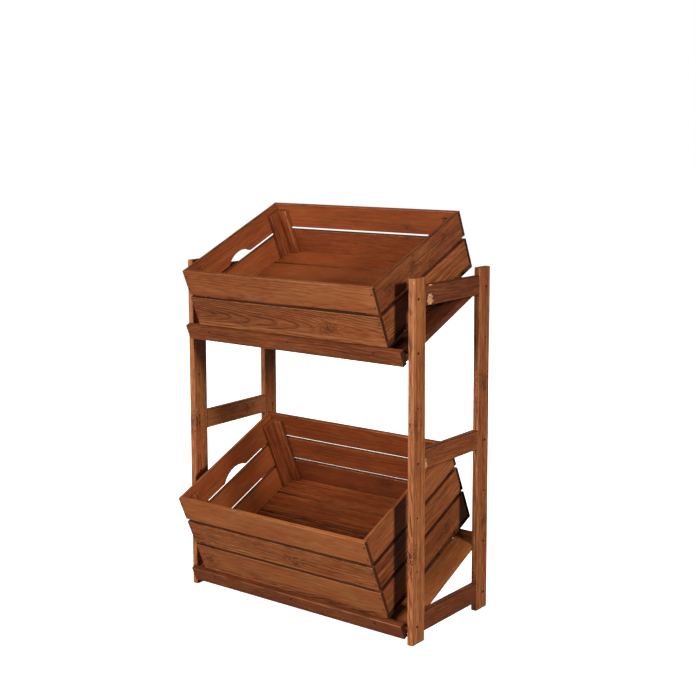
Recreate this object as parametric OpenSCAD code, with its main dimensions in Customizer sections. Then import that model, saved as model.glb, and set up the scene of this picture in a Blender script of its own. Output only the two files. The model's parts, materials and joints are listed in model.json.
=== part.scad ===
// Market crate stand: two ladder side frames, two sloping trays and two lift-off slatted crates.
// All lengths are millimetres. +Z is up, -Y is the side the customer stands at.

/* [Frame] */
// Height of the four uprights
stand_h = 880; // [760:5:1000]
// Width over the outer faces of the two side frames
stand_w = 720; // [690:5:860]
// Depth over the front and rear uprights
stand_d = 336; // [320:2:370]
// Thickness of the upright and rail boards
post_t = 16; // [14:0.5:20]
// Face width of an upright board
post_w = 50; // [46:1:54]
// Height of a side rail
rail_h = 49; // [44:1:60]
// Height of a rail's middle over the peg hole it is pinned at
rail_rise = 5; // [0:0.5:6]

/* [Rail joints] */
// Thickness of a rail tenon
tenon_t = 5; // [4:0.5:6]
// Step from the rail's edge in to the tenon's edge
tenon_step = 7; // [5:0.5:10]
// Length of a rail tenon
tenon_l = 40; // [36:1:42]
// Play round a tenon in its mortise
tenon_play = 0.3; // [0.2:0.05:0.5]

/* [Peg holes] */
// Height of the lowest peg hole
hole_low = 43.5; // [40:0.5:56]
// Step from the lowest peg hole to the next
low_step = 135; // [128:1:142]
// Step between the two highest peg holes
top_step = 127; // [120:1:136]
// Highest peg hole below the upright's top
hole_top = 49; // [42:1:60]
// Peg holes from the frame's front and rear faces
hole_inset = 19; // [16:0.5:21]
// Diameter of a peg hole
hole_d = 5; // [4.5:0.1:6]

/* [Trays] */
// Thickness of the tray boards
tray_t = 15; // [12:0.5:18]
// Height of the lip
lip_h = 40; // [32:0.5:42]
// Lip's top below the crate's floor
lip_drop = 1.5; // [0.5:0.5:2]
// Space between the lip's end and the side frame
lip_clear = 2; // [1:0.5:8]
// Lip's front face ahead of the crate's front face
lip_lead = 11; // [8:0.5:14]
// Width of a flat side runner
runner_w = 60; // [50:1:64]
// Runner's top face below the crate's floor
runner_drop = 19; // [17:0.5:24]
// Crossbar's top below the crate's floor
bar_drop = 10; // [6:0.5:12]
// Side bearers' middle, as a share of half the inner width
bearer_share = 0.762; // [0.74:0.002:0.77]
// Crate's front ahead of the frame, lower tray
lower_reach = 14; // [12:1:24]
// Crate's front ahead of the frame, upper tray
upper_reach = 20; // [14:1:30]

/* [Crates] */
// Space between a crate's end and the side frame
crate_room = 44; // [30:1:60]
// Depth of a crate along its floor
crate_d = 400; // [390:2:420]
// Height of a crate slat
slat_h = 68; // [55:1:74]
// Gap between two slats
slat_gap = 9; // [6:0.5:14]
// Thickness of a crate slat
slat_t = 10; // [8:0.5:13]
// Thickness of the floor boards
floor_t = 13; // [11:0.5:15]
// Gap between two floor boards
floor_gap = 5; // [3:0.5:9]
// Width of a hand hold's arch at the slat's edge
hand_w = 92; // [80:1:110]
// Rise of a hand hold's arch
hand_h = 19; // [16:0.5:24]

/* [Crate corners] */
// Thickness of an end cleat
cleat_t = 11; // [8:0.5:14]
// Width of an end cleat
cleat_w = 45; // [35:1:60]
// Thickness of a corner batten
batten_t = 12; // [9:0.5:15]
// Width of a corner batten
batten_w = 26; // [20:1:34]
// Top of the cleats below the crate's rim
cleat_drop = 15; // [8:1:22]
// Space between a stop block's end and the bearer
block_clear = 8; // [4:0.5:12]
// Side of a stop block
block_s = 15; // [12:0.5:18]
// Play between the stop block and the lip
block_play = 0.5; // [0.4:0.1:1.5]

/* [Fasteners] */
// Diameter of a nail head
nail_head_d = 5; // [4:0.1:6]
// Height of a nail head
nail_head_h = 1; // [0.6:0.1:1.4]
// Diameter of a nail shank
nail_d = 2.4; // [2:0.1:3]
// Length of a crate nail
crate_nail_l = 24; // [20:1:30]
// Length of a tray nail
tray_nail_l = 45; // [38:1:60]
// Diameter of a rail pin and of a tray screw
pin_d = 4.2; // [3.6:0.1:4.4]
// Diameter of the head of a pin or screw
pin_head_d = 6.5; // [6:0.1:8]
// Height of the head of a pin or screw
pin_head_h = 1.2; // [0.8:0.1:1.8]
// Length of a rail pin
pin_l = 13; // [11:0.5:13.5]
// Length of a tray screw
screw_l = 44; // [36:1:56]
// Play round a fastener in its hole
hole_play = 0.3; // [0.3:0.05:0.5]
// Lip nails below the lip's top
lip_nail_drop = 11; // [9:0.5:16]

/* [Hidden] */
cut = 1;
round_fn = 32;
arch_fn = 96;
hole_count = 7;
slats_upper = 2;
slats_lower = 3;
floor_count = 5;
low_rung = 0;
mid_rung = 3;
top_rung = 6;
// Rung of the front peg hole each tray hangs on; the rear one is the next rung up
lower_rung = 0;
upper_rung = 5;
slat_nail_shares = [0.24, 0.76];
runner_nail_share = 0.75;
wood = [0.47, 0.25, 0.14];
wood_light = [0.55, 0.31, 0.18];
steel = [0.16, 0.14, 0.13];

half_w = stand_w / 2;
half_d = stand_d / 2;
inner_x = half_w - post_t;
even_low = hole_low + low_step;
even_high = stand_h - hole_top - top_step;
tenon_h = rail_h - tenon_step * 2;
hole_y = half_d - hole_inset;
runner_mid = runner_drop + tray_t / 2;
bar_low = runner_drop + tray_t;
bar_mid = (bar_drop + bar_low) / 2;
lower_y = -half_d - lower_reach;
upper_y = -half_d - upper_reach;
bearer_x = inner_x * bearer_share;
lip_back = tray_t - lip_lead;
lip_low = lip_drop + lip_h;
lip_nail = lip_drop + lip_nail_drop;
floor_w = (crate_d - floor_gap * (floor_count - 1)) / floor_count;
half_l = inner_x - crate_room;
end_in = half_l - slat_t;
hand_r = (pow(hand_w / 2, 2) + pow(hand_h, 2)) / (hand_h * 2);
block_near = tray_t / 2 + block_clear;
block_far = bearer_x - tray_t / 2 - block_clear;
runner_nail_x = inner_x - runner_w * runner_nail_share;
screw_in = screw_l - post_t;
nail_hole_d = nail_d + hole_play * 2;
pin_hole_d = pin_d + hole_play * 2;

// The peg holes between the trays are evenly spaced
function rung_z(i) = i < 1 ? hole_low
    : i > hole_count - 2 ? stand_h - hole_top
    : even_low + (even_high - even_low) * (i - 1) / (hole_count - 3);
// A tray's slope, from the front hole that it hangs on to the rear one
function tilt(upper) = atan((upper ? top_step : low_step) / (hole_y * 2));
function slat_z(i) = floor_t + (slat_h + slat_gap) * i;
function crate_h(n) = floor_t + slat_h * n + slat_gap * (n - 1);
function tray_y(upper) = upper ? upper_y : lower_y;
function tray_rung(upper) = upper ? upper_rung : lower_rung;
function slat_n(upper) = upper ? slats_upper : slats_lower;
// Height of the crate's front bottom edge
function tray_z(upper) = rung_z(tray_rung(upper)) + runner_mid / cos(tilt(upper))
    + (tray_y(upper) + hole_y) * tan(tilt(upper));
// Place along the slope of a screw at depth y, in the runner's middle
function along_slope(upper, y) = (y - tray_y(upper) - runner_mid * sin(tilt(upper))) / cos(tilt(upper));
// Crossbar's front face along the slope, so that the rear screw meets its middle
function bar_u(upper) = along_slope(upper, hole_y) - tray_t / 2;
// Front screw along the slope
function screw_u(upper) = along_slope(upper, -hole_y);

function crate_front(upper) = tray_y(upper) - crate_h(slat_n(upper)) * sin(tilt(upper));
function crate_rear(upper) = tray_y(upper) + crate_d * cos(tilt(upper));
front_edge = min(crate_front(false), crate_front(true));
rear_edge = max(crate_rear(false), crate_rear(true), half_d);
mid_y = (front_edge + rear_edge) / 2;

// Frames of reference

module stand_frame() {
    translate([0, -mid_y, 0])
        children();
}

// Local X runs across, Y up the slope from the crate's front, Z square to the crate's floor
module tray_frame(upper) {
    translate([0, tray_y(upper) - mid_y, tray_z(upper)])
        rotate([tilt(upper), 0, 0])
            children();
}

module mirror_side(side) {
    scale([side, 1, 1])
        children();
}

// A board given by its low and high corners
module board(low, high) {
    translate(low)
        cube(high - low);
}

// A round bar along +X from the origin
module bar_x(d, l) {
    rotate([0, 90, 0])
        cylinder(d = d, h = l, $fn = round_fn);
}

// A round bar along +Y from the origin
module bar_y(d, l) {
    rotate([-90, 0, 0])
        cylinder(d = d, h = l, $fn = round_fn);
}

// A fastener with its head outside and its shank along +X
module fastener_x(d, l, head_d, head_h) {
    union() {
        bar_x(d, l);
        translate([-head_h, 0, 0])
            bar_x(head_d, head_h);
    }
}

module fastener_y(d, l, head_d, head_h) {
    union() {
        bar_y(d, l);
        translate([0, -head_h, 0])
            bar_y(head_d, head_h);
    }
}

// Side frames, drawn for the right side

module upright(side, rear) {
    face = rear ? 1 : -1;
    edge_y = half_d - post_w;
    stand_frame()
        mirror_side(side)
            scale([1, face, 1])
                difference() {
                    board([inner_x, edge_y, 0], [half_w, half_d, stand_h]);
                    for (i = [low_rung, mid_rung, top_rung])
                        mortise(rung_z(i) + rail_rise);
                    for (i = [0 : hole_count - 1])
                        translate([inner_x - cut, hole_y, rung_z(i)])
                            bar_x(hole_d, post_t + cut * 2);
                }
}

module mortise(z) {
    edge_y = half_d - post_w;
    mid_x = half_w - post_t / 2;
    half_t = tenon_t / 2 + tenon_play;
    half_h = tenon_h / 2 + tenon_play;
    board([mid_x - half_t, edge_y - cut, z - half_h],
          [mid_x + half_t, edge_y + tenon_l + cut, z + half_h]);
}

module rail(side, i) {
    edge_y = half_d - post_w;
    mid_x = half_w - post_t / 2;
    z = rung_z(i) + rail_rise;
    stand_frame()
        mirror_side(side)
            difference() {
                union() {
                    board([inner_x, -edge_y, z - rail_h / 2], [half_w, edge_y, z + rail_h / 2]);
                    board([mid_x - tenon_t / 2, -edge_y - tenon_l, z - tenon_h / 2],
                          [mid_x + tenon_t / 2, edge_y + tenon_l, z + tenon_h / 2]);
                }
                for (y = [-hole_y, hole_y])
                    translate([inner_x - cut, y, rung_z(i)])
                        bar_x(hole_d, post_t + cut * 2);
            }
}

// Trays

module lip(upper) {
    end_x = inner_x - lip_clear;
    tray_frame(upper)
        difference() {
            board([-end_x, -lip_lead, -lip_low], [end_x, lip_back, -lip_drop]);
            for (x = [-bearer_x, 0, bearer_x])
                translate([x, -lip_lead - cut, -lip_nail])
                    bar_y(nail_hole_d, tray_t + cut * 2);
        }
}

module crossbar(upper) {
    u = bar_u(upper);
    tray_frame(upper)
        difference() {
            board([-inner_x, u, -bar_low], [inner_x, u + tray_t, -bar_drop]);
            for (x = [-bearer_x, 0, bearer_x])
                translate([x, u - cut, -bar_mid])
                    bar_y(nail_hole_d, tray_t + cut * 2);
            for (side = [-1, 1])
                mirror_side(side)
                    translate([runner_nail_x, u - cut, -runner_mid])
                        bar_y(nail_hole_d, tray_t + cut * 2);
            for (side = [-1, 1])
                mirror_side(side)
                    translate([inner_x - screw_in - cut, u + tray_t / 2, -runner_mid])
                        bar_x(pin_hole_d, screw_in + cut * 2);
        }
}

module runner(upper, side) {
    u = bar_u(upper);
    blind = tray_nail_l - tray_t + cut;
    tray_frame(upper)
        mirror_side(side)
            difference() {
                board([inner_x - runner_w, lip_back, -runner_drop - tray_t],
                      [inner_x, u, -runner_drop]);
                translate([inner_x - screw_in - cut, screw_u(upper), -runner_mid])
                    bar_x(pin_hole_d, screw_in + cut * 2);
                translate([runner_nail_x, u - blind, -runner_mid])
                    bar_y(nail_hole_d, blind + cut);
            }
}

module bearer(upper, side) {
    u = bar_u(upper);
    x = bearer_x * side;
    blind = tray_nail_l - tray_t + cut;
    tray_frame(upper)
        difference() {
            board([x - tray_t / 2, lip_back, -lip_low], [x + tray_t / 2, u, 0]);
            translate([x, lip_back - cut, -lip_nail])
                bar_y(nail_hole_d, blind + cut);
            translate([x, u - blind, -bar_mid])
                bar_y(nail_hole_d, blind + cut);
        }
}

// Crates

module front_slat(upper, i) {
    tray_frame(upper)
        long_slat(i);
}

module rear_slat(upper, i) {
    tray_frame(upper)
        translate([0, crate_d, 0])
            scale([1, -1, 1])
                long_slat(i);
}

module long_slat(i) {
    difference() {
        board([-half_l, 0, slat_z(i)], [half_l, slat_t, slat_z(i) + slat_h]);
        slat_nail_holes(i);
    }
}

// Holes of the nails that hold one long slat to the end slats
module slat_nail_holes(i) {
    for (side = [-1, 1])
        for (s = slat_nail_shares)
            translate([(half_l - slat_t / 2) * side, -cut, slat_z(i) + slat_h * s])
                bar_y(nail_hole_d, crate_nail_l + cut * 2);
}

// The top slat of a crate's left end has the hand hold
module end_slat(upper, side, i) {
    grip = side < 0 && i == slat_n(upper) - 1;
    tray_frame(upper)
        mirror_side(side)
            difference() {
                board([end_in, slat_t, slat_z(i)], [half_l, crate_d - slat_t, slat_z(i) + slat_h]);
                slat_nail_holes(i);
                translate([0, crate_d, 0])
                    scale([1, -1, 1])
                        slat_nail_holes(i);
                if (grip)
                    translate([end_in - cut, crate_d / 2, slat_z(i)])
                        hand_hold();
            }
}

module hand_hold() {
    translate([0, 0, hand_h - hand_r])
        rotate([0, 90, 0])
            cylinder(r = hand_r, h = slat_t + cut * 2, $fn = arch_fn);
}

module floor_boards(upper) {
    tray_frame(upper)
        for (i = [0 : floor_count - 1])
            board([-half_l, (floor_w + floor_gap) * i, 0],
                  [half_l, (floor_w + floor_gap) * i + floor_w, floor_t]);
}

module four_corners() {
    for (side = [-1, 1])
        mirror_side(side) {
            children();
            translate([0, crate_d, 0])
                scale([1, -1, 1])
                    children();
        }
}

module end_cleats(upper) {
    tray_frame(upper)
        four_corners()
            board([end_in - cleat_t, slat_t, floor_t],
                  [end_in, slat_t + cleat_w, crate_h(slat_n(upper)) - cleat_drop]);
}

module corner_battens(upper) {
    far_x = end_in - cleat_t;
    tray_frame(upper)
        four_corners()
            board([far_x - batten_w, slat_t, floor_t],
                  [far_x, slat_t + batten_t, crate_h(slat_n(upper)) - cleat_drop]);
}

module stop_blocks(upper) {
    near_u = lip_back + block_play;
    tray_frame(upper)
        for (side = [-1, 1])
            mirror_side(side)
                board([block_near, near_u, -block_s],
                      [block_far, near_u + block_s, 0]);
}

module crate_nails(upper) {
    tray_frame(upper)
        for (i = [0 : slat_n(upper) - 1]) {
            slat_nails(i);
            translate([0, crate_d, 0])
                scale([1, -1, 1])
                    slat_nails(i);
        }
}

module slat_nails(i) {
    for (side = [-1, 1])
        for (s = slat_nail_shares)
            translate([(half_l - slat_t / 2) * side, 0, slat_z(i) + slat_h * s])
                fastener_y(nail_d, crate_nail_l, nail_head_d, nail_head_h);
}

// Fasteners of the stand

module pin_at(side, y, i, l) {
    stand_frame()
        mirror_side(side)
            translate([half_w, y, rung_z(i)])
                rotate([0, 0, 180])
                    fastener_x(pin_d, l, pin_head_d, pin_head_h);
}

module rail_pins() {
    color(steel)
        for (side = [-1, 1]) {
            pin_at(side, -hole_y, mid_rung, pin_l);
            pin_at(side, -hole_y, top_rung, pin_l);
            pin_at(side, hole_y, low_rung, pin_l);
            pin_at(side, hole_y, mid_rung, pin_l);
        }
}

module tray_screws() {
    color(steel)
        for (side = [-1, 1])
            for (i = [lower_rung, upper_rung]) {
                pin_at(side, -hole_y, i, screw_l);
                pin_at(side, hole_y, i + 1, screw_l);
            }
}

module tray_nails() {
    color(steel)
        for (upper = [false, true])
            tray_frame(upper) {
                for (x = [-bearer_x, 0, bearer_x]) {
                    translate([x, -lip_lead, -lip_nail])
                        fastener_y(nail_d, tray_nail_l, nail_head_d, nail_head_h);
                    rear_nail(upper, x, bar_mid);
                }
                for (side = [-1, 1])
                    rear_nail(upper, runner_nail_x * side, runner_mid);
            }
}

module rear_nail(upper, x, drop) {
    translate([x, bar_u(upper) + tray_t, -drop])
        scale([1, -1, 1])
            fastener_y(nail_d, tray_nail_l, nail_head_d, nail_head_h);
}

// One module for each piece

module upright_front_left() color(wood) upright(-1, false);
module upright_front_right() color(wood) upright(1, false);
module upright_rear_left() color(wood) upright(-1, true);
module upright_rear_right() color(wood) upright(1, true);
module rail_bottom_left() color(wood) rail(-1, low_rung);
module rail_bottom_right() color(wood) rail(1, low_rung);
module rail_mid_left() color(wood) rail(-1, mid_rung);
module rail_mid_right() color(wood) rail(1, mid_rung);
module rail_top_left() color(wood) rail(-1, top_rung);
module rail_top_right() color(wood) rail(1, top_rung);
module lower_lip() color(wood_light) lip(false);
module upper_lip() color(wood_light) lip(true);
module lower_crossbar() color(wood_light) crossbar(false);
module upper_crossbar() color(wood_light) crossbar(true);
module lower_runner_left() color(wood_light) runner(false, -1);
module lower_runner_right() color(wood_light) runner(false, 1);
module upper_runner_left() color(wood_light) runner(true, -1);
module upper_runner_right() color(wood_light) runner(true, 1);
module lower_bearer_left() color(wood_light) bearer(false, -1);
module lower_bearer_mid() color(wood_light) bearer(false, 0);
module lower_bearer_right() color(wood_light) bearer(false, 1);
module upper_bearer_left() color(wood_light) bearer(true, -1);
module upper_bearer_mid() color(wood_light) bearer(true, 0);
module upper_bearer_right() color(wood_light) bearer(true, 1);
module lower_front_slat_1() color(wood) front_slat(false, 0);
module lower_front_slat_2() color(wood) front_slat(false, 1);
module lower_front_slat_3() color(wood) front_slat(false, 2);
module lower_rear_slat_1() color(wood) rear_slat(false, 0);
module lower_rear_slat_2() color(wood) rear_slat(false, 1);
module lower_rear_slat_3() color(wood) rear_slat(false, 2);
module lower_left_slat_1() color(wood) end_slat(false, -1, 0);
module lower_left_slat_2() color(wood) end_slat(false, -1, 1);
module lower_left_slat_3() color(wood) end_slat(false, -1, 2);
module lower_right_slat_1() color(wood) end_slat(false, 1, 0);
module lower_right_slat_2() color(wood) end_slat(false, 1, 1);
module lower_right_slat_3() color(wood) end_slat(false, 1, 2);
module lower_floor_boards() color(wood_light) floor_boards(false);
module lower_end_cleats() color(wood_light) end_cleats(false);
module lower_corner_battens() color(wood_light) corner_battens(false);
module lower_stop_blocks() color(wood_light) stop_blocks(false);
module lower_crate_nails() color(steel) crate_nails(false);
module upper_front_slat_1() color(wood) front_slat(true, 0);
module upper_front_slat_2() color(wood) front_slat(true, 1);
module upper_rear_slat_1() color(wood) rear_slat(true, 0);
module upper_rear_slat_2() color(wood) rear_slat(true, 1);
module upper_left_slat_1() color(wood) end_slat(true, -1, 0);
module upper_left_slat_2() color(wood) end_slat(true, -1, 1);
module upper_right_slat_1() color(wood) end_slat(true, 1, 0);
module upper_right_slat_2() color(wood) end_slat(true, 1, 1);
module upper_floor_boards() color(wood_light) floor_boards(true);
module upper_end_cleats() color(wood_light) end_cleats(true);
module upper_corner_battens() color(wood_light) corner_battens(true);
module upper_stop_blocks() color(wood_light) stop_blocks(true);
module upper_crate_nails() color(steel) crate_nails(true);

upright_front_left();
upright_front_right();
upright_rear_left();
upright_rear_right();
rail_bottom_left();
rail_bottom_right();
rail_mid_left();
rail_mid_right();
rail_top_left();
rail_top_right();
lower_lip();
upper_lip();
lower_crossbar();
upper_crossbar();
lower_runner_left();
lower_runner_right();
upper_runner_left();
upper_runner_right();
lower_bearer_left();
lower_bearer_mid();
lower_bearer_right();
upper_bearer_left();
upper_bearer_mid();
upper_bearer_right();
rail_pins();
tray_screws();
tray_nails();
lower_front_slat_1();
lower_front_slat_2();
lower_front_slat_3();
lower_rear_slat_1();
lower_rear_slat_2();
lower_rear_slat_3();
lower_left_slat_1();
lower_left_slat_2();
lower_left_slat_3();
lower_right_slat_1();
lower_right_slat_2();
lower_right_slat_3();
lower_floor_boards();
lower_end_cleats();
lower_corner_battens();
lower_stop_blocks();
lower_crate_nails();
upper_front_slat_1();
upper_front_slat_2();
upper_rear_slat_1();
upper_rear_slat_2();
upper_left_slat_1();
upper_left_slat_2();
upper_right_slat_1();
upper_right_slat_2();
upper_floor_boards();
upper_end_cleats();
upper_corner_battens();
upper_stop_blocks();
upper_crate_nails();
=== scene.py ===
"""Dresses the market crate stand: eased and stained pine boards, dulled steel, studio light and camera."""
import json
import math
import random

import bmesh
import bpy
from mathutils import Matrix, Vector, noise


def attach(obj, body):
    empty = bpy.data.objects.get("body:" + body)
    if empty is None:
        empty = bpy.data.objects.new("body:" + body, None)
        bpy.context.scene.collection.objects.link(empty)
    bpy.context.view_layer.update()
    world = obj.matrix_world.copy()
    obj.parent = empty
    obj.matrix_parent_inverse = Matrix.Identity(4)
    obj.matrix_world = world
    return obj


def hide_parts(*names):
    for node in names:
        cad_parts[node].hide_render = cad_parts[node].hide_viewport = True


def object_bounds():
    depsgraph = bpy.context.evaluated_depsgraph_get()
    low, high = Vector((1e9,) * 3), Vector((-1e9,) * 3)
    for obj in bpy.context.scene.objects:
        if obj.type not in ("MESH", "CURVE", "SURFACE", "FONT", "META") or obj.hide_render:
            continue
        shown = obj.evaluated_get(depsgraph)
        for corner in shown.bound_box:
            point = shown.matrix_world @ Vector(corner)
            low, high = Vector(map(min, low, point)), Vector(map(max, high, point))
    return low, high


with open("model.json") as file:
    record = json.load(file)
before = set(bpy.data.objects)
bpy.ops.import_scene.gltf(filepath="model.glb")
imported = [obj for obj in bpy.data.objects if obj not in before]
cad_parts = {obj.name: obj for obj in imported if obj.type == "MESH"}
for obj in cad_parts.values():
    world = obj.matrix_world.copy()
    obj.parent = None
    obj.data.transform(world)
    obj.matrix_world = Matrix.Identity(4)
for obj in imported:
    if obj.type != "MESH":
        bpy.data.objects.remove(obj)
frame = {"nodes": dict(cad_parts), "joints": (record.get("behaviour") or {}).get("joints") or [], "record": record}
cad_low, cad_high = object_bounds()

MM = 0.001
UP = Vector((0, 0, 1))

# Points within the weld are one point, and faces that meet at a smaller angle are one face
WELD = 0.01 * MM
TOUCH = 2 * WELD
FLAT_ANGLE = math.radians(1)

# A face is square to an axis when its normal has at least this much of the axis
SQUARE = 0.999
NEARLY_SQUARE = 0.99

# Slope of each tray and its crate, from the direction in which the crate lifts off
SLOPE = {}
for joint in frame["joints"]:
    tier = joint["name"].split("_")[0]
    SLOPE[tier] = math.atan2(-joint["axis"][1], joint["axis"][2])

SLOT_OF = {row["node"]: row["material_slot"] for row in frame["record"]["subparts"]}
BODY_OF = {node: body for body, nodes in frame["record"]["behaviour"]["bodies"].items() for node in nodes}

# Rows of slats in each crate
ROWS = {tier: sum(node.startswith(tier + "_front_slat_") for node in frame["nodes"]) for tier in SLOPE}


# Boards: how each kind is worked

class Cut:
    """How a kind of board is planed: rounding of its long edges, easing of its sawn ends and play along
    its length, in millimetres, and how far the eased ends are rubbed pale instead of soaked dark."""

    def __init__(self, ease, end_ease, play=0.0, end_worn=0.5):
        self.ease = ease * MM
        self.end_ease = end_ease * MM
        self.play = play * MM
        self.end_worn = end_worn


PLANED_POST = Cut(2.0, 0.8)
# The rails' eased ends are soaked dark all round: end grain, and the painted shade of the groove where each rail
# meets an upright
PLANED_RAIL = Cut(1.2, 2.4, end_worn=0.0)
TRAY_LIP = Cut(1.4, 0.7)
TRAY_BOARD = Cut(1.2, 0.6)
SLAT = Cut(0.9, 0.6, play=0.7, end_worn=1.0)
END_SLAT = Cut(0.9, 1.0, end_worn=0.0)
FLOOR_BOARD = Cut(0.9, 0.4, play=0.5)
CLEAT = Cut(1.3, 0.8)
BATTEN = Cut(1.8, 0.8)
BLOCK = Cut(1.0, 1.0)

# The first of these words in a node's name gives its cut
CUTS = (
    ("upright", PLANED_POST),
    ("rail_", PLANED_RAIL),
    ("_lip", TRAY_LIP),
    ("floor_boards", FLOOR_BOARD),
    ("left_slat", END_SLAT),
    ("right_slat", END_SLAT),
    ("_slat_", SLAT),
    ("end_cleats", CLEAT),
    ("corner_battens", BATTEN),
    ("stop_blocks", BLOCK),
    ("crossbar", TRAY_BOARD),
    ("runner", TRAY_BOARD),
    ("bearer", TRAY_BOARD),
)


class Log:
    """Where the tree's heart runs past a board, to the side and in depth in metres, how it drifts
    and tapers for each metre of board, and how strong the year lines are."""

    def __init__(self, side, deep, drift, taper, lines=1.0):
        self.heart = Vector((side, deep, lines))
        self.cone = Vector((drift, taper, 0.0))


class Look:
    """What is special to one board: its tone against the usual stain, partly the board's own and partly painted
    light and shade, its knots, how much its tone gains from its middle to its end on the +X, +Y or +Z side as a
    painted falloff of light, how bold its grain is, how far the boards of one node may differ in tone, and its
    log if that isn't drawn at random.
    A knot is (along, across, radius) in millimetres from the board's middle. A board has two at most."""

    def __init__(self, tone=1.0, knots=(), lean=0.0, bold=1.0, spread=0.03, log=None):
        self.tone = tone
        self.knots = [Vector(knot) * MM for knot in knots]
        self.lean = lean
        self.bold = bold
        self.spread = spread
        self.log = log


# Which way the crates' boards face their inside, on the level
INWARD = {
    "front_slat": Vector((0, 1, 0)),
    "rear_slat": Vector((0, -1, 0)),
    "left_slat": Vector((1, 0, 0)),
    "right_slat": Vector((-1, 0, 0)),
    "floor": UP,
}

PLAIN = Look()
# Tones and leans are partly each board's own stain and partly painted light and shade: the left frame's uprights
# and middle rail are lifted where the lamps leave them in shade, the right uprights darken towards the top, the
# front left upright darkens towards its foot, the front slats lighten towards their right ends and the lower right
# end's middle slat darkens towards its front.
LOOKS = {
    "upright_front_right": Look(1.19, [(-219, -20, 6)], lean=-0.06, bold=1.6),
    "upright_rear_right": Look(1.09, [(148, 4, 8), (-209, 6, 5)], lean=-0.09, bold=1.6),
    "upright_front_left": Look(1.155, [(5, -18, 9)], lean=0.05, bold=1.5),
    "upright_rear_left": Look(1.13, bold=1.5),
    "rail_top_right": Look(0.63),
    "rail_mid_right": Look(0.86),
    "rail_bottom_right": Look(0.74),
    "rail_mid_left": Look(1.2, [(42, 1, 8)]),
    "rail_top_left": Look(0.9),
    "rail_bottom_left": Look(0.9),
    "upper_lip": Look(0.80),
    "lower_lip": Look(0.68),
    "upper_runner_right": Look(0.50),
    "lower_runner_right": Look(1.10),
    "upper_front_slat_1": Look(0.91, [(141, -14, 6)], lean=0.08, log=Log(0.015, 0.032, 0.012, 0.065, 2.0)),
    "upper_front_slat_2": Look(1.02, lean=0.12, bold=0.8),
    "upper_right_slat_2": Look(0.80, [(-139, 0, 5), (36, -26, 4)]),
    "upper_right_slat_1": Look(0.88, bold=1.3),
    "upper_rear_slat_2": Look(0.95, [(135, -13, 4)], bold=0.7),
    "upper_rear_slat_1": Look(0.80),
    "upper_floor_boards": Look(1.17, bold=1.2, spread=0.06),
    "lower_floor_boards": Look(1.00, bold=1.8, spread=0.06),
    "lower_front_slat_1": Look(0.98, [(-268, -9, 9)], lean=0.04, bold=0.75),
    "lower_front_slat_2": Look(1.03, [(45, -14, 6), (-274, -36, 6)], bold=1.35),
    "lower_front_slat_3": Look(1.08, lean=0.05, bold=0.7),
    "lower_rear_slat_1": Look(0.66, [(53, 18, 5)]),
    "lower_rear_slat_2": Look(0.79),
    "lower_rear_slat_3": Look(0.82),
    "lower_right_slat_2": Look(0.84, lean=0.12, bold=1.5),
    "lower_right_slat_1": Look(0.82),
    "lower_left_slat_2": Look(1.04),
    "upper_left_slat_2": Look(0.93),
    "upper_end_cleats": Look(0.86, bold=1.7),
    "lower_end_cleats": Look(0.82, bold=1.7),
    "upper_corner_battens": Look(0.84, bold=1.7),
    "lower_corner_battens": Look(0.84, bold=1.7),
}


# Reading the frame

def slope_of(node):
    """The side frames stand upright, and each tray lies on its slope with its crate."""
    return SLOPE.get(node.split("_")[0], 0.0)


def make_faces_whole(solid):
    bmesh.ops.dissolve_limit(
        solid, angle_limit=FLAT_ANGLE, use_dissolve_boundaries=False, verts=solid.verts, edges=solid.edges,
    )


def solids(node):
    """One bmesh for each solid of a CAD node, merged and with its flat faces made whole."""
    whole = bmesh.new()
    whole.from_mesh(frame["nodes"][node].data)
    bmesh.ops.remove_doubles(whole, verts=whole.verts, dist=WELD)
    whole.verts.ensure_lookup_table()
    left = set(range(len(whole.verts)))
    while left:
        island, reached = set(), [min(left)]
        while reached:
            index = reached.pop()
            if index in island:
                continue
            island.add(index)
            reached += [edge.other_vert(whole.verts[index]).index for edge in whole.verts[index].link_edges]
        left -= island
        solid = whole.copy()
        others = [v for v in solid.verts if v.index not in island]
        bmesh.ops.delete(solid, geom=others, context="VERTS")
        make_faces_whole(solid)
        yield solid
    whole.free()


# A plane bounds a board's body when its faces cover more than this share of the board's box
BODY_SHARE = 0.4


def body_limits(solid):
    """Lowest and highest corner of a board's body, without its tenons."""
    low = Vector([min(vert.co[axis] for vert in solid.verts) for axis in range(3)])
    high = Vector([max(vert.co[axis] for vert in solid.verts) for axis in range(3)])
    size = high - low
    body_low, body_high = low.copy(), high.copy()
    for axis in range(3):
        section = size[(axis + 1) % 3] * size[(axis + 2) % 3]
        planes = {}
        for face in solid.faces:
            if abs(face.normal[axis]) > SQUARE:
                place = round(face.calc_center_median()[axis] / WELD) * WELD
                planes[place] = planes.get(place, 0.0) + face.calc_area()
        full = [place for place, area in planes.items() if area > BODY_SHARE * section]
        body_low[axis], body_high[axis] = min(full), max(full)
    return body_low, body_high


# Shaping the boards

def board_axes(low, high):
    """The board's own axes as columns: along the grain, across the width and through the thickness."""
    size = high - low
    order = sorted(range(3), key=lambda axis: -size[axis])
    columns = [Vector([float(axis == i) for i in range(3)]) for axis in order]
    if columns[0].cross(columns[1]).dot(columns[2]) < 0:
        columns[2].negate()
    return Matrix(columns).transposed()


def arrises(solid, low, high, along_axis):
    """The body's outer edges along the grain."""
    found = []
    for edge in solid.edges:
        a, b = (vert.co for vert in edge.verts)
        flush = [
            axis for axis in range(3)
            if abs(a[axis] - b[axis]) < TOUCH
            and min(abs(a[axis] - low[axis]), abs(a[axis] - high[axis])) < TOUCH
        ]
        if len(flush) == 2 and along_axis not in flush:
            found.append(edge)
    return found


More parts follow.
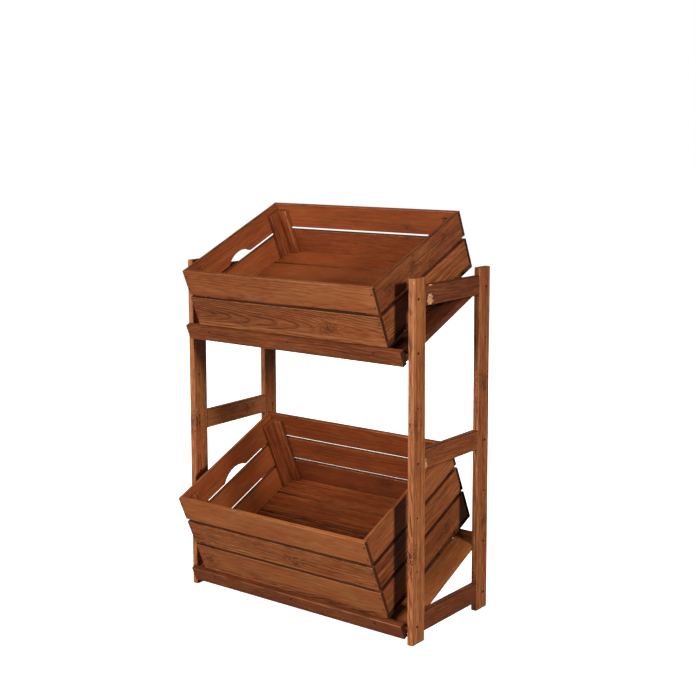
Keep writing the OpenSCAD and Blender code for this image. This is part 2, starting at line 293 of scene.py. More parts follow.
def ease_edges(solid, edges, offset, steps):
    bmesh.ops.bevel(
        solid, geom=edges, offset=offset, offset_type="OFFSET", segments=steps,
        profile=0.5, affect="EDGES", material=-1, clamp_overlap=True,
    )


# Logs at random: how far the heart may lie to either side, how deep, and how far it may drift and taper
SIDE_MOST = 0.03
DEEP_LEAST, DEEP_SPREAD = 0.012, 0.03
DRIFT_MOST = 0.05


def drawn_log(place):
    """A log from a board's draw. Heart and taper go by one number, so a log far to the side tapers most."""
    a, b, c = place
    side = 2 * SIDE_MOST * b - SIDE_MOST
    deep = DEEP_SPREAD * c + DEEP_LEAST
    drift, taper = (2 * DRIFT_MOST * share - DRIFT_MOST for share in (a, b))
    return Log(side, deep, drift, taper)


class Board:
    """One board's own axes, draw of the grain, log and tone, which the stain reads on every point."""

    def __init__(self, node, index, low, high):
        self.look = LOOKS.get(node, PLAIN)
        draw = random.Random(f"{node} {index}")
        self.place = Vector(draw.random() for _ in range(3))
        self.log = self.look.log or drawn_log(self.place)
        self.shade = self.look.tone * (1.0 + self.look.spread * draw.uniform(-1, 1))
        self.axes = board_axes(low, high)
        self.middle = (low + high) / 2
        self.along = max(range(3), key=lambda axis: high[axis] - low[axis])
        self.half = (high[self.along] - low[self.along]) / 2
        self.slide = draw.uniform(-1, 1)

    def paint(self, solid):
        layers = solid.verts.layers
        own, drawn, heart, cone, *knots = (
            layers.float_vector.get(name) or layers.float_vector.new(name)
            for name in ("board", "draw", "heart", "cone", "knot_a", "knot_b")
        )
        tone, bold = (layers.float.get(name) or layers.float.new(name) for name in ("tone", "bold"))
        for vert in solid.verts:
            from_middle = vert.co - self.middle
            vert[own] = self.axes.transposed() @ from_middle
            vert[drawn] = self.place
            vert[heart] = self.log.heart
            vert[cone] = self.log.cone
            vert[bold] = self.look.bold
            # Tone, partly the board's own and partly painted light and shade, with a painted falloff along the
            # board
            vert[tone] = self.shade + self.look.lean * from_middle[self.along] / self.half
            for layer, knot in zip(knots, self.look.knots):
                vert[layer] = knot


# Steps in the rounding of a board's long edges and in the easing of its ends
ARRIS_STEPS = 3
END_STEPS = 1


def work_board(solid, node, index):
    """Eases one board's edges, marks its faces and paints it."""
    cut = next(cut for part, cut in CUTS if part in node)
    level = Matrix.Rotation(-slope_of(node), 4, "X")
    bmesh.ops.transform(solid, matrix=level, verts=solid.verts)
    solid.normal_update()
    low, high = body_limits(solid)
    board = Board(node, index, low, high)
    along = board.along

    ease_edges(solid, arrises(solid, low, high, along), cut.ease, ARRIS_STEPS)
    solid.normal_update()
    rim = [e for e in solid.edges if is_end_rim(e, low, high, along)]
    ease_edges(solid, rim, cut.end_ease, END_STEPS)
    solid.normal_update()
    mark_faces(solid, node, cut, low, high, along)

    board.paint(solid)
    slide = Vector([cut.play * board.slide * (axis == along) for axis in range(3)])
    bmesh.ops.translate(solid, vec=slide, verts=solid.verts)
    bmesh.ops.transform(solid, matrix=level.inverted(), verts=solid.verts)
    return board


# A rounded face belongs to an edge when all of it is within this many roundings of the edge
EDGE_REACH = 1.1
# An edge whose rounding looks down more than this gets neither the rubbed paleness nor the painted highlight
LOOKS_DOWN = -0.3
# How far the stain soaks into the sawn ends of cleats, battens and uprights, against the other boards
SHALLOW_SOAK = 0.35
# Painted shade: how dark it makes the rounding below the front slats, the floor boards' front faces, and a gap
# between slats that has light behind it
UNDER_EDGE_SHADE, FLOOR_EDGE_SHADE, BACKLIT_GAP_SHADE = 0.5, 0.25, 0.2


def mark_faces(solid, node, cut, low, high, along):
    """Says how far each face is worn pale, partly as a painted highlight, how sawn it is, how fresh its stain is
    with painted bounce light, and how much painted shade darkens it, and shades the rounded ones smooth.
    """
    layers = solid.faces.layers.float
    worn_and_highlit, sawn, fresh_and_bounce, painted_shade = (layers.new(name) for name in ("worn_and_highlit", "sawn", "fresh_and_bounce", "painted_shade"))
    soak = SHALLOW_SOAK if cut in (CLEAT, BATTEN, PLANED_POST) else 1.0
    inward = INWARD.get(node.split("_", 1)[1].rsplit("_", 1)[0])

    def close(face, axis, rounding):
        reach = EDGE_REACH * rounding
        return all(min(v.co[axis] - low[axis], high[axis] - v.co[axis]) < reach for v in face.verts)

    for face in solid.faces:
        normal = face.normal
        face.smooth = max(map(abs, normal)) < SQUARE
        if not face.smooth:
            face[sawn] = soak * (abs(normal[along]) > NEARLY_SQUARE)
            # Painted shade on faces in the gaps between slats and on the floor boards' fronts
            face[painted_shade] = in_gap(node, normal)
            # Inside faces, cleats and battens: fresher stain, and redder with painted bounce light from the
            # crate's red walls
            inside = cut in (CLEAT, BATTEN) or (inward is not None and normal.dot(inward) > NEARLY_SQUARE)
            face[fresh_and_bounce] = float(inside)
        elif close(face, along, cut.end_ease):
            face[worn_and_highlit] = cut.end_worn
            face[sawn] = soak * (1.0 - cut.end_worn)
        elif all(close(face, axis, cut.ease) for axis in range(3) if axis != along):
            under = normal.z < LOOKS_DOWN
            # Rubbed pale, with a painted highlight, where the rounding looks up or sideways
            face[worn_and_highlit] = float(not under)
            # Painted shade on the rounding under a front slat
            face[painted_shade] = UNDER_EDGE_SHADE * (under and "_front_" in node)
        elif cut is PLANED_POST:
            # Walls of the peg holes: dark end grain, and painted shade inside the holes
            face[sawn] = 1.0
            face[painted_shade] = 1.0


def in_gap(node, normal):
    """How much painted shade darkens a flat face that looks into a gap between slats, or the front face of a floor
    board.
    """
    if "_slat_" not in node:
        return FLOOR_EDGE_SHADE * ("floor_boards" in node and normal.y < -NEARLY_SQUARE)
    tier, *_, row = node.split("_")
    topmost = int(row) == ROWS[tier]
    backlit = "_rear_" in node or "_left_" in node
    if normal.z > NEARLY_SQUARE and not topmost:
        return BACKLIT_GAP_SHADE if backlit else 1.0
    return float(normal.z < -NEARLY_SQUARE)


def is_end_rim(edge, low, high, along):
    """An edge all round a sawn end, between the end's face and the faces along the board."""
    a, b = (vert.co[along] for vert in edge.verts)
    at_end = abs(a - b) < TOUCH and min(abs(a - low[along]), abs(a - high[along])) < TOUCH
    if not at_end or len(edge.link_faces) != 2:
        return False
    return sum(abs(face.normal[along]) > NEARLY_SQUARE for face in edge.link_faces) == 1


def place_piece(name, mesh, node, material):
    """Puts a mesh into the scene as the piece that stands for a CAD node, with normals of its own."""
    piece = bpy.data.objects.new(name, mesh)
    bpy.context.scene.collection.objects.link(piece)
    mesh.materials.append(material)
    carried = mesh.attributes.get("custom_normal")
    if carried:
        mesh.attributes.remove(carried)
    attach(piece, BODY_OF[node])
    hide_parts(node)


# The last board worked of each node, for the splinters
BOARDS = {}


def dress_wood(node, material):
    """All boards of one CAD node as one piece."""
    whole = bmesh.new()
    for index, solid in enumerate(solids(node)):
        BOARDS[node] = work_board(solid, node, index)
        held = bpy.data.meshes.new("held")
        solid.to_mesh(held)
        solid.free()
        whole.from_mesh(held)
        bpy.data.meshes.remove(held)
    mesh = bpy.data.meshes.new("pine_" + node)
    whole.to_mesh(mesh)
    whole.free()
    place_piece("pine_" + node, mesh, node, material)


# Rounding of the heads of nails, pins and screws, on edges that are sharper than the angle
HEAD_ROUND = 0.45 * MM
HEAD_STEPS = 2
RIM_ANGLE = math.radians(60)


def dress_steel(node, material):
    """All nails, pins or screws of one CAD node as one piece, with the rims of their heads rounded."""
    whole = bmesh.new()
    whole.from_mesh(frame["nodes"][node].data)
    bmesh.ops.remove_doubles(whole, verts=whole.verts, dist=WELD)
    make_faces_whole(whole)
    whole.normal_update()
    rims = [e for e in whole.edges if e.is_convex and e.calc_face_angle(0.0) > RIM_ANGLE]
    ease_edges(whole, rims, HEAD_ROUND, HEAD_STEPS)
    for face in whole.faces:
        face.smooth = len(face.verts) == 4
    mesh = bpy.data.meshes.new("steel_" + node)
    whole.to_mesh(mesh)
    whole.free()
    place_piece("steel_" + node, mesh, node, material)


# Materials

class Recipe:
    """A material's node tree, with one short call for each kind of node used here."""

    def __init__(self, name):
        self.material = bpy.data.materials.new(name)
        self.material.use_nodes = True
        self.tree = self.material.node_tree
        self.shader = self.tree.nodes["Principled BSDF"]

    def feed(self, socket, value):
        if isinstance(value, bpy.types.NodeSocket):
            self.tree.links.new(value, socket)
        else:
            socket.default_value = value

    def node(self, kind, inputs, **settings):
        made = self.tree.nodes.new("ShaderNode" + kind)
        for key, value in settings.items():
            setattr(made, key, value)
        for key, value in inputs.items():
            self.feed(made.inputs[key], value)
        return made

    def attribute(self, name, output):
        return self.node("Attribute", {}, attribute_name=name).outputs[output]

    def math(self, operation, *values):
        return self.node("Math", dict(enumerate(values)), operation=operation).outputs[0]

    def vector(self, operation, *values):
        made = self.node("VectorMath", dict(enumerate(values)), operation=operation)
        return made.outputs["Value" if operation == "LENGTH" else "Vector"]

    def noise(self, vector, stretch, detail, rough, output=0):
        at = self.vector("MULTIPLY", vector, stretch)
        inputs = {"Vector": at, "Scale": 1.0, "Detail": detail, "Roughness": rough}
        return self.node("TexNoise", inputs).outputs[output]

    def spread(self, value, low, high, to_low=0.0, to_high=1.0):
        inputs = {"Value": value, "From Min": low, "From Max": high, "To Min": to_low, "To Max": to_high}
        return self.node("MapRange", inputs, interpolation_type="SMOOTHSTEP").outputs[0]

    def mix(self, share, a, b, blend="MIX"):
        made = self.node("Mix", {0: share, 6: a, 7: b}, data_type="RGBA", blend_type=blend)
        return made.outputs[2]

    def ramp(self, value, stops):
        made = self.node("ValToRGB", {0: value})
        elements = made.color_ramp.elements
        while len(elements) < len(stops):
            elements.new(0.5)
        for element, (place, colour) in zip(elements, stops):
            element.position = place
            element.color = (*colour, 1.0)
        return made.outputs[0]

    def bump(self, height, strength, distance):
        return self.node("Bump", {"Height": height, "Strength": strength, "Distance": distance}).outputs[0]


# Colours of the stain from its deepest to its thinnest
STAIN = (
    (0.0, (0.050, 0.013, 0.004)),
    (0.3, (0.140, 0.037, 0.009)),
    (0.6, (0.270, 0.088, 0.025)),
    (1.0, (0.430, 0.184, 0.070)),
)
KNOT_DARK = (0.040, 0.012, 0.006, 1.0)
KNOT_RED = (0.110, 0.030, 0.010, 1.0)
# Red laid on inside faces: fresher stain and painted bounce light
FRESH_AND_BOUNCE_RED = (1.0, 0.80, 0.68, 1.0)
WARM_RED = (1.0, 0.86, 0.80, 1.0)
# Colour of the painted shade in gaps, holes and under edges
PAINTED_SHADE_DARK = (0.020, 0.006, 0.003, 1.0)
# Pale of rubbed edges: partly wear and partly a painted highlight
RUBBED_AND_HIGHLIGHT_PALE = (0.400, 0.160, 0.065, 1.0)
SAWN_DARK = (0.022, 0.009, 0.005, 1.0)

# Noise in the wood: cycles per metre along, across and through the board, then detail and roughness
TORN = ((90.0, 140.0, 140.0), 2.0, 0.5)
WANDER = ((4.0, 14.0, 14.0), 2.0, 0.5)
STREAK = ((2.4, 240.0, 240.0), 4.0, 0.66)
FIBRE = ((18.0, 340.0, 340.0), 3.0, 0.65)
FLECK = ((34.0, 320.0, 320.0), 2.0, 0.55)
BLOTCH = ((5.0, 16.0, 16.0), 3.0, 0.55)
FADE = ((3.0, 26.0, 26.0), 2.0, 0.5)
WARM = ((9.0, 34.0, 34.0), 1.0, 0.5)
SCUFF = ((28.0, 90.0, 90.0), 3.0, 0.6)

# How far apart the boards' draws lie in the noise
DRAW_REACH = (9.0, 5.0, 5.0)

# Drawn knots: one to a cell in metres, most of them missing, and their radius
KNOT_CELL = Vector((0.46, 0.10, 1.0))
KNOT_MISSING = 0.78
KNOT_LEAST, KNOT_SPREAD = 2.5 * MM, 5.0 * MM
FAR_OFF = 100.0
# Knots listed for a board are a little longer along the board, and one that is not there has no size
KNOT_SHAPE = (0.8, 1.0, 0.0)
NO_SIZE = 1e-5
# In knot radii: the reach of the bent grain, the heart's outer and inner edge, the dark rim's place and width
HALO_REACH = 3.4
HEART_EDGE = (1.35, 0.5)
RIM_PLACE, RIM_WIDTH = 0.9, 0.45
# How torn fibres change the distance to a knot
KNOT_RAGGED = (0.2, 0.8, 0.6, 1.5)

# Year rings: their pitch, how far they wander, how many years a knot bends them, and a year's dark line
RING_PITCH = 4.2 * MM
RING_WANDER = (0.0, 0.014, 0.014)
KNOT_BEND = 3.4
LINE_RISE = (0.50, 0.88)
LINE_FALL = (0.92, 1.0, 1.0, 0.0)
FLAT_SAWN_LINE = (0.0, 0.7, 0.3, 1.0)


def parts(r, vector):
    """The three numbers of a vector."""
    return r.node("SeparateXYZ", {0: vector}).outputs


def knot_nearness(r, board, shifted):
    """Distance to the nearest knot in knot radii, over the drawn knots and the two listed for the board."""
    cell = r.vector("DIVIDE", shifted, KNOT_CELL)
    drawn = r.node("TexVoronoi", {"Vector": cell, "Scale": 1.0}, voronoi_dimensions="2D", feature="F1")
    gap = r.vector("SUBTRACT", cell, drawn.outputs["Position"])
    gap = r.vector("MULTIPLY", gap, (KNOT_CELL.x, KNOT_CELL.y, 0.0))
    chance = parts(r, drawn.outputs["Color"])
    radius = r.math("MULTIPLY_ADD", chance[0], KNOT_SPREAD, KNOT_LEAST)
    nearest = r.math("DIVIDE", r.vector("LENGTH", gap), radius)
    missing = r.math("LESS_THAN", chance[1], KNOT_MISSING)
    nearest = r.math("MULTIPLY_ADD", missing, FAR_OFF, nearest)
    for name in ("knot_a", "knot_b"):
        knot = r.attribute(name, "Vector")
        radius = r.math("MAXIMUM", parts(r, knot)[2], NO_SIZE)
        gap = r.vector("MULTIPLY", r.vector("SUBTRACT", board, knot), KNOT_SHAPE)
        nearest = r.math("MINIMUM", nearest, r.math("DIVIDE", r.vector("LENGTH", gap), radius))
    return nearest


def knot_fields(r, board, shifted):
    """Where the grain bends round a knot, where the knot's heart is and where its dark rim is."""
    ragged = r.spread(r.noise(shifted, *TORN), *KNOT_RAGGED)
    near = r.math("MULTIPLY", knot_nearness(r, board, shifted), ragged)
    off = r.math("POWER", r.math("DIVIDE", near, HALO_REACH), 2.0)
    halo = r.math("EXPONENT", r.math("MULTIPLY", off, -1.0))
    heart = r.spread(near, *HEART_EDGE)
    rim = r.spread(r.math("ABSOLUTE", r.math("SUBTRACT", near, RIM_PLACE)), RIM_WIDTH, 0.0)
    return halo, heart, rim


def year_lines(r, board, shifted, halo):
    """Dark lines of a log whose heart lies off the board and drifts along it, bent round the knots."""
    wander = r.vector("SUBTRACT", r.noise(shifted, *WANDER, output=1), (0.5, 0.5, 0.5))
    wander = r.vector("MULTIPLY", wander, RING_WANDER)
    heart = parts(r, r.attribute("heart", "Vector"))
    cone = parts(r, r.attribute("cone", "Vector"))
    own = parts(r, r.vector("ADD", board, wander))
    side = r.math("ADD", heart[0], r.math("MULTIPLY_ADD", own[0], cone[0], own[1]))
    deep = r.math("ADD", heart[1], r.math("MULTIPLY_ADD", own[0], cone[1], own[2]))
    off = r.vector("LENGTH", r.node("CombineXYZ", {1: side, 2: deep}).outputs[0])
    age = r.math("MULTIPLY_ADD", halo, KNOT_BEND, r.math("DIVIDE", off, RING_PITCH))
    season = r.math("FRACT", age)
    line = r.math("MULTIPLY", r.spread(season, *LINE_RISE), r.spread(season, *LINE_FALL))
    steep = r.math("DIVIDE", r.math("ABSOLUTE", side), off)
    strength = r.math("MAXIMUM", r.spread(steep, *FLAT_SAWN_LINE), halo)
    return r.math("MULTIPLY", line, r.math("MULTIPLY", strength, heart[2]))


# What each part of the grain adds to the stain's thinness, and what it comes to on plain wood
STREAK_SHARE = 0.56
FIBRE_SHARE = 0.56
FLECK_SHARE = 0.52
LINE_SHARE = -0.28
BLOTCH_SHARE = 0.34
HALO_SHARE = -0.07
TONE_SHARE = 0.75
GRAIN_LEVEL, BLOTCH_LEVEL, TONE_LEVEL = -0.54, 0.52, -0.93
# The year lines come and go, except near a knot, and on the inside faces fresher stain and painted bounce light
# hide some of the grain
LINE_FADE = (0.34, 0.66, 0.25, 1.0)
KNOT_LINE = 2.0
INSIDE_CALM = -0.35


def stain_thinness(r, shifted, streak, fibre, late, halo, fresh_and_bounce):
    """How thin the stain looks at a place, from the grain, the blotches and the board's tone."""
    tone = r.attribute("tone", "Fac")
    bold = r.attribute("bold", "Fac")
    fade = r.spread(r.noise(shifted, *FADE), *LINE_FADE)
    streaky = r.math("MULTIPLY", bold, r.math("MULTIPLY_ADD", streak, STREAK_SHARE, -STREAK_SHARE / 2))
    grain = r.math("ADD", streaky, r.math("MULTIPLY_ADD", fibre, FIBRE_SHARE, GRAIN_LEVEL))
    grain = r.math("MULTIPLY_ADD", r.noise(shifted, *FLECK), FLECK_SHARE, grain)
    line = r.math("MULTIPLY", late, r.math("MAXIMUM", fade, r.math("MULTIPLY", halo, KNOT_LINE)))
    grain = r.math("MULTIPLY_ADD", line, LINE_SHARE, grain)
    calm = r.math("MULTIPLY", bold, r.math("MULTIPLY_ADD", fresh_and_bounce, INSIDE_CALM, 1.0))
    blotchy = r.math("MULTIPLY_ADD", r.noise(shifted, *BLOTCH), BLOTCH_SHARE, BLOTCH_LEVEL)
    thin = r.math("MULTIPLY_ADD", grain, calm, blotchy)
    thin = r.math("MULTIPLY_ADD", halo, HALO_SHARE, thin)
    return r.math("ADD", thin, r.math("MULTIPLY_ADD", tone, TONE_SHARE, TONE_LEVEL))


# Strength of the colours laid over the stain
WARM_EDGE = (0.3, 0.7)
HEART_SHARE, RIM_SHARE = 0.55, 0.35
SCUFF_EDGE = (0.36, 0.58)
RUB_AND_HIGHLIGHT_SHARE = 0.55
SOAK_LEAST, SOAK_SPREAD = 0.82, 0.16
SAWN_RINGS = (-0.4, 1.4, 1.0, 0.84)
PAINTED_SHADE_SHARE = 0.72
# Roughness and shine, which sawn ends have more and less of, and the relief of the surface
STREAK_ROUGH, SAWN_ROUGH = 0.22, 0.25
SHINE, SAWN_SHINE = 0.26, -0.22
FIBRE_RELIEF, LINE_RELIEF, SCUFF_RELIEF, HEART_RELIEF = 0.6, 0.10, 0.3, 0.5
PINE_RELIEF = (0.35, 0.4 * MM)


def stained_pine(name, roughness):
    """Pine under a thin red-brown stain, with knots, year lines, worn edges with a painted highlight and dark sawn
    ends, with painted shade in gaps and holes and inside faces reddened with painted bounce light.
    """
    r = Recipe(name)
    board = r.attribute("board", "Vector")
    draw = r.attribute("draw", "Vector")
    worn_and_highlit, sawn, fresh_and_bounce, painted_shade = (r.attribute(mark, "Fac") for mark in ("worn_and_highlit", "sawn", "fresh_and_bounce", "painted_shade"))
    shifted = r.vector("MULTIPLY_ADD", draw, DRAW_REACH, board)
    halo, heart, rim = knot_fields(r, board, shifted)
    late = year_lines(r, board, shifted, halo)
    streak = r.noise(shifted, *STREAK)
    fibre = r.noise(shifted, *FIBRE)
    scuff = r.noise(shifted, *SCUFF)

    colour = r.ramp(stain_thinness(r, shifted, streak, fibre, late, halo, fresh_and_bounce), STAIN)
    warm = r.spread(r.noise(shifted, *WARM), *WARM_EDGE)
    colour = r.mix(warm, colour, WARM_RED, "MULTIPLY")
    # Inside faces: fresher stain and painted red bounce light
    colour = r.mix(fresh_and_bounce, colour, FRESH_AND_BOUNCE_RED, "MULTIPLY")
    colour = r.mix(r.math("MULTIPLY", heart, HEART_SHARE), colour, KNOT_RED)
    colour = r.mix(r.math("MULTIPLY", rim, RIM_SHARE), colour, KNOT_DARK)

    rub_and_highlight = r.math("MULTIPLY", worn_and_highlit, r.spread(scuff, *SCUFF_EDGE))
    # Rubbed pale edges: partly wear and partly a painted highlight
    colour = r.mix(r.math("MULTIPLY", rub_and_highlight, RUB_AND_HIGHLIGHT_SHARE), colour, RUBBED_AND_HIGHLIGHT_PALE)
    soaked = r.math("MULTIPLY_ADD", parts(r, draw)[0], SOAK_SPREAD, SOAK_LEAST)
    ends = r.math("MULTIPLY", sawn, r.math("MULTIPLY", soaked, r.spread(late, *SAWN_RINGS)))
    colour = r.mix(ends, colour, SAWN_DARK)
    # Painted shade in gaps, under the front slats' rounded edges, on the floor boards' fronts and in the peg holes
    colour = r.mix(r.math("MULTIPLY", painted_shade, PAINTED_SHADE_SHARE), colour, PAINTED_SHADE_DARK)
    r.feed(r.shader.inputs["Base Color"], colour)

    rough = r.math("MULTIPLY_ADD", streak, STREAK_ROUGH, roughness)
    rough = r.math("MULTIPLY_ADD", sawn, SAWN_ROUGH, rough)
    r.feed(r.shader.inputs["Roughness"], rough)
    r.feed(r.shader.inputs["Specular IOR Level"], r.math("MULTIPLY_ADD", sawn, SAWN_SHINE, SHINE))
    height = r.math("MULTIPLY_ADD", fibre, FIBRE_RELIEF, r.math("MULTIPLY", late, LINE_RELIEF))
    height = r.math("MULTIPLY_ADD", scuff, SCUFF_RELIEF, height)
    height = r.math("MULTIPLY_ADD", heart, HEART_RELIEF, height)
    r.feed(r.shader.inputs["Normal"], r.bump(height, *PINE_RELIEF))
    return r.material


# Dulled steel: its blooms, roughness, shine and relief
BLOOM = ((700.0, 700.0, 700.0), 3.0, 0.6)
BLOOM_LOW, BLOOM_HIGH = 0.3, 0.7
STEEL_ROUGH, BLOOM_ROUGH = 0.32, 0.35
STEEL_METAL = 0.1
STEEL_SHINE = 0.2
STEEL_RELIEF = (0.25, 0.2 * MM)


def dulled_steel(name, dark, light):
    """Nail steel gone dull, with the stain in blooms over it."""
    r = Recipe(name)
    at = r.node("TexCoord", {}).outputs["Object"]
    bloom = r.noise(at, *BLOOM)
    r.feed(r.shader.inputs["Base Color"], r.ramp(bloom, ((BLOOM_LOW, dark), (BLOOM_HIGH, light))))
    r.feed(r.shader.inputs["Roughness"], r.math("MULTIPLY_ADD", bloom, BLOOM_ROUGH, STEEL_ROUGH))
    r.shader.inputs["Metallic"].default_value = STEEL_METAL
    r.shader.inputs["Specular IOR Level"].default_value = STEEL_SHINE
    r.feed(r.shader.inputs["Normal"], r.bump(bloom, *STEEL_RELIEF))
    return r.material


# Raw wood: torn fibres, from their shaded to their bare colour
RAW_FIBRES = ((160.0, 60.0, 420.0), 4.0, 0.6)
RAW_COLOURS = (
    (0.30, (0.24, 0.095, 0.035)),
    (0.65, (0.58, 0.33, 0.15)),
)
RAW_ROUGH = 0.8
RAW_RELIEF = (0.7, 1.0 * MM)


def raw_pine():
    """Unstained pine where a splinter has come away."""
    r = Recipe("raw_pine")
    at = r.node("TexCoord", {}).outputs["Object"]
    torn = r.noise(at, *RAW_FIBRES)
    r.feed(r.shader.inputs["Base Color"], r.ramp(torn, RAW_COLOURS))
    r.shader.inputs["Roughness"].default_value = RAW_ROUGH
    r.feed(r.shader.inputs["Normal"], r.bump(torn, *RAW_RELIEF))
    return r.material


# Splinters knocked off the right side frame

class Chip:
    """A splintered place on a board: its inset from a corner of the board's body and its reach,
    in millimetres. A corner has 0 or 1 for the low or high side of X, Y and Z."""

    def __init__(self, node, corner, inset, reach):
        self.node = node
        self.corner = corner
        self.inset = Vector(inset) * MM
        self.reach = Vector(reach) * MM


CHIPS = (
    Chip("rail_top_right", (1, 0, 0), (0, 18, 13), (4.0, 15, 14)),
    Chip("rail_top_right", (1, 0, 1), (0, 18, 0), (1.5, 9, 3)),
    Chip("upright_front_right", (1, 0, 1), (0, 0, 9), (2.0, 2.0, 6)),
    Chip("rail_mid_right", (1, 0, 0), (0, 2, 16), (3.5, 7, 13)),
)


# How jagged a splinter is, how fine its jags are, and what tells one splinter's jags from another's
JAGGED = 0.60
JAG_PITCH = 2.6
JAG_SHIFT = 700


def body_corner(node, corner):
    """Where one corner of a board's body is."""
    solid = next(solids(node))
    low, high = body_limits(solid)
    solid.free()
    return Vector([(low, high)[side][axis] for axis, side in enumerate(corner)])


def splinter(chip, material):
    """A jagged lump in the shape of the wood that is gone."""
    lump = bmesh.new()
    bmesh.ops.create_icosphere(lump, subdivisions=3, radius=1.0)
    for vert in lump.verts:
        vert.co *= 1.0 + JAGGED * noise.noise(vert.co * JAG_PITCH + chip.inset * JAG_SHIFT)
    bmesh.ops.scale(lump, vec=chip.reach, verts=lump.verts)
    inward = Vector([-1 if side else 1 for side in chip.corner])
    at = body_corner(chip.node, chip.corner) + Vector(a * b for a, b in zip(chip.inset, inward))
    bmesh.ops.translate(lump, vec=at, verts=lump.verts)
    mesh = bpy.data.meshes.new("splinter")
    lump.to_mesh(mesh)
    lump.free()
    mesh.materials.append(material)
    made = bpy.data.objects.new("splinter", mesh)
    bpy.context.scene.collection.objects.link(made)
    return made


def knock_off(chip, material):
    """Cuts the splinter out of its board and leaves raw wood behind."""
    piece = bpy.data.objects["pine_" + chip.node]
    cutter = splinter(chip, material)
    cut = piece.modifiers.new("splinter", "BOOLEAN")
    cut.operation = "DIFFERENCE"
    cut.solver = "EXACT"
    cut.material_mode = "TRANSFER"
    cut.object = cutter
    shown = piece.evaluated_get(bpy.context.evaluated_depsgraph_get())
    chipped = bpy.data.meshes.new_from_object(shown)
    piece.modifiers.clear()
    whole = bmesh.new()
    whole.from_mesh(chipped)
    BOARDS[chip.node].paint(whole)
    whole.to_mesh(chipped)
    whole.free()
    piece.data = chipped
    bpy.data.objects.remove(cutter)


# Studio

MIDDLE = (cad_low + cad_high) / 2
WHITE = (1.0, 1.0, 1.0, 1.0)


def outward(azimuth, elevation):
    """Direction from the stand: azimuth from the front towards the right, both in degrees."""
    a, e = math.radians(azimuth), math.radians(elevation)
    return Vector((math.sin(a) * math.cos(e), -math.cos(a) * math.cos(e), math.sin(e)))


def softbox(name, azimuth, elevation, distance, side, watts, colour, glint=True):
    """A square soft light that looks at the stand's middle."""
    light = bpy.data.lights.new(name, "AREA")
    light.shape = "SQUARE"
    light.size = side
    light.energy = watts
    light.color = colour
    lamp = bpy.data.objects.new(name, light)
    bpy.context.scene.collection.objects.link(lamp)
    lamp.location = MIDDLE + distance * outward(azimuth, elevation)
    aim = MIDDLE - lamp.location
    lamp.rotation_euler = aim.to_track_quat("-Z", "Y").to_euler()
    lamp.visible_glossy = glint


def pale_surroundings(fill, seen):
    """Even light all round, with a white backdrop behind the stand."""
    world = bpy.data.worlds.new("studio")
    bpy.context.scene.world = world
    world.use_nodes = True
    nodes, links = world.node_tree.nodes, world.node_tree.links
    backdrop = nodes["Background"]
    backdrop.inputs["Color"].default_value = WHITE
    path = nodes.new("ShaderNodeLightPath")
    strength = nodes.new("ShaderNodeMapRange")
    strength.inputs["To Min"].default_value = fill
    strength.inputs["To Max"].default_value = seen
    links.new(path.outputs["Is Camera Ray"], strength.inputs["Value"])
    links.new(strength.outputs[0], backdrop.inputs["Strength"])


# The floor lies just below the uprights' feet
FLOOR_DROP = 0.2 * MM
FLOOR_GREY = (0.9, 0.9, 0.9, 1.0)
FLOOR_ROUGH = 0.9


def pale_floor(half_width, glow):
    """A pale floor that glows up to the backdrop's white and lights nothing itself."""
    grid = bmesh.new()
    bmesh.ops.create_grid(grid, x_segments=1, y_segments=1, size=half_width)
    bmesh.ops.translate(grid, vec=UP * (cad_low.z - FLOOR_DROP), verts=grid.verts)
    mesh = bpy.data.meshes.new("floor")
    grid.to_mesh(mesh)
    grid.free()
    floor = bpy.data.objects.new("floor", mesh)
    bpy.context.scene.collection.objects.link(floor)
    r = Recipe("pale_floor")
    r.shader.inputs["Base Color"].default_value = FLOOR_GREY
    r.shader.inputs["Roughness"].default_value = FLOOR_ROUGH
    r.shader.inputs["Specular IOR Level"].default_value = 0.0
    r.shader.inputs["Emission Color"].default_value = WHITE
    r.shader.inputs["Emission Strength"].default_value = glow
    mesh.materials.append(r.material)
    floor.visible_diffuse = False
    floor.visible_glossy = False


# The photograph's camera: its place, its turn in degrees, and its lens in pixels of the picture
CAMERA_PLACE = Vector((2.0320, -2.5615, 1.2358))
CAMERA_AZIMUTH, CAMERA_ELEVATION, CAMERA_ROLL = 37.900, 7.093, -0.199
PICTURE_SIDE = 696
LENS_PIXELS = 1298.94
CENTRE_PIXEL = (335.10, 284.30)
SENSOR_WIDTH = 36.0


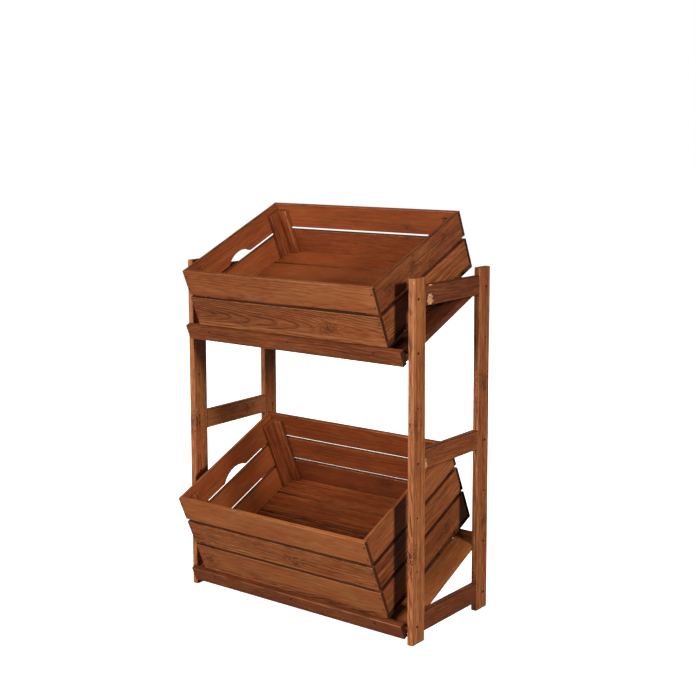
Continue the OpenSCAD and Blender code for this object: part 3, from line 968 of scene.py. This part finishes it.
def photo_camera():
    """The camera of the scene, with the photograph's view."""
    back = outward(CAMERA_AZIMUTH, CAMERA_ELEVATION)
    roll = math.radians(CAMERA_ROLL)
    level = UP.cross(back).normalized()
    steep = back.cross(level)
    right = math.cos(roll) * level + math.sin(roll) * steep
    top = math.cos(roll) * steep - math.sin(roll) * level
    data = bpy.data.cameras.new("photo_camera")
    data.sensor_width = SENSOR_WIDTH
    data.lens = LENS_PIXELS / PICTURE_SIDE * SENSOR_WIDTH
    data.shift_x = 0.5 - CENTRE_PIXEL[0] / PICTURE_SIDE
    data.shift_y = CENTRE_PIXEL[1] / PICTURE_SIDE - 0.5
    camera = bpy.data.objects.new("photo_camera", data)
    bpy.context.scene.collection.objects.link(camera)
    turned = Matrix((right, top, back)).transposed().to_4x4()
    camera.matrix_world = Matrix.Translation(CAMERA_PLACE) @ turned
    bpy.context.scene.camera = camera


# Making the stand

PINE = {
    "frame_wood": stained_pine("frame_pine", roughness=0.40),
    "tray_wood": stained_pine("tray_pine", roughness=0.42),
    "crate_wood": stained_pine("crate_pine", roughness=0.42),
}
bare_steel = dulled_steel("bare_steel", dark=(0.014, 0.005, 0.003), light=(0.050, 0.020, 0.012))
stained_steel = dulled_steel("stained_steel", dark=(0.040, 0.013, 0.005), light=(0.120, 0.045, 0.018))
for node in sorted(frame["nodes"]):
    if SLOT_OF[node] == "fasteners":
        dress_steel(node, bare_steel if BODY_OF[node] == "stand" else stained_steel)
    else:
        dress_wood(node, PINE[SLOT_OF[node]])
raw = raw_pine()
for chip in CHIPS:
    knock_off(chip, raw)

photo_camera()
pale_surroundings(fill=0.14, seen=1.0)
pale_floor(half_width=12.0, glow=0.93)
KEY_WARM, SOFT_WARM = (1.0, 0.97, 0.93), (1.0, 0.98, 0.96)
softbox("key", 80, 22, distance=5.0, side=0.85, watts=238, colour=KEY_WARM)
softbox("front", -8, 11, distance=4.5, side=2.0, watts=262, colour=SOFT_WARM)
softbox("back", 205, 22, distance=4.5, side=2.0, watts=115, colour=SOFT_WARM, glint=False)
bpy.context.scene.view_settings.view_transform = "Standard"
